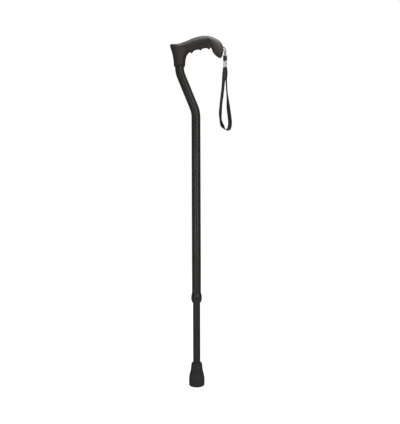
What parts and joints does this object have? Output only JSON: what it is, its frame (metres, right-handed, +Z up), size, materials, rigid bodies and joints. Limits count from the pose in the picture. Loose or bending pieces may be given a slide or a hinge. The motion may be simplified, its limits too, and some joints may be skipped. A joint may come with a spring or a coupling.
{
  "type": "walking cane",
  "caption": "Height-adjustable walking cane with an offset bent shaft, a moulded grip with finger ridges, a twist locking collar, a rubber tip and a wrist strap.",
  "frame": {"origin": "centre of the rubber tip's foot, where it meets the floor", "axes": "+Z up the shaft, +X towards the nose of the handle, +Y to the side that the height holes and the snap button face"},
  "size_m": [0.1528, 0.0384, 0.864],
  "materials": {
    "grip_plastic": "soft black moulding with a fine spark texture",
    "core_plastic": "glass-filled nylon, as moulded",
    "steel_zinc": "zinc plated steel",
    "tube_black": "black anodised, satin",
    "nylon_black": "black nylon, fine matt",
    "nylon_white": "natural nylon",
    "squeeze_rubber": "soft black rubber",
    "spring_steel": "tempered spring steel",
    "tip_rubber": "moulded black rubber",
    "cord_black": "braided black polyester",
    "webbing_black": "woven black polyester webbing",
    "crimp_silver": "bright nickel plated"
  },
  "bodies": {
    "lower_leg": {"lower_tube": "tube_black", "guide_bushing": "nylon_white", "button_spring": "spring_steel", "rubber_tip": "tip_rubber", "tip_washer": "steel_zinc"},
    "upper_cane": {"handle_core": "core_plastic", "handle_cover": "grip_plastic", "handle_screw": "steel_zinc", "strap_pin": "steel_zinc", "upper_tube": "tube_black", "tube_plug": "nylon_white", "collet": "nylon_black"},
    "height_button": {"snap_button": "steel_zinc"},
    "twist_lock": {"lock_ring": "nylon_black", "squeeze_ring": "squeeze_rubber"},
    "tether": {"tether_cord": "cord_black"},
    "wrist_strap": {"strap_tab": "webbing_black", "strap_crimp": "crimp_silver", "strap_loop": "webbing_black"}
  },
  "joints": [
    {"name": "height_adjust", "type": "slide", "parent": "lower_leg", "child": "upper_cane", "axis": [0, 0, 1], "range_m": [-0.0762, 0.0762]},
    {"name": "button_press", "type": "slide", "parent": "lower_leg", "child": "height_button", "axis": [0, -1, 0], "range_m": [0, 0.0043], "stiffness_N_per_m": 1500, "springref_m": -0.002, "deforming": ["button_spring"]},
    {"name": "lock_twist", "type": "hinge", "parent": "upper_cane", "child": "twist_lock", "pos_m": [0, 0, 0.21], "axis": [0, 0, -1], "range_deg": [0, 120]},
    {"name": "tether_swing", "type": "hinge", "parent": "upper_cane", "child": "tether", "pos_m": [0.064, 0, 0.835], "axis": [0, -1, 0], "range_deg": [0, 45]},
    {"name": "strap_sway", "type": "hinge", "parent": "tether", "child": "wrist_strap", "pos_m": [0.0727, 0, 0.8153], "axis": [1, 0, 0], "range_deg": [-60, 60]}
  ]
}
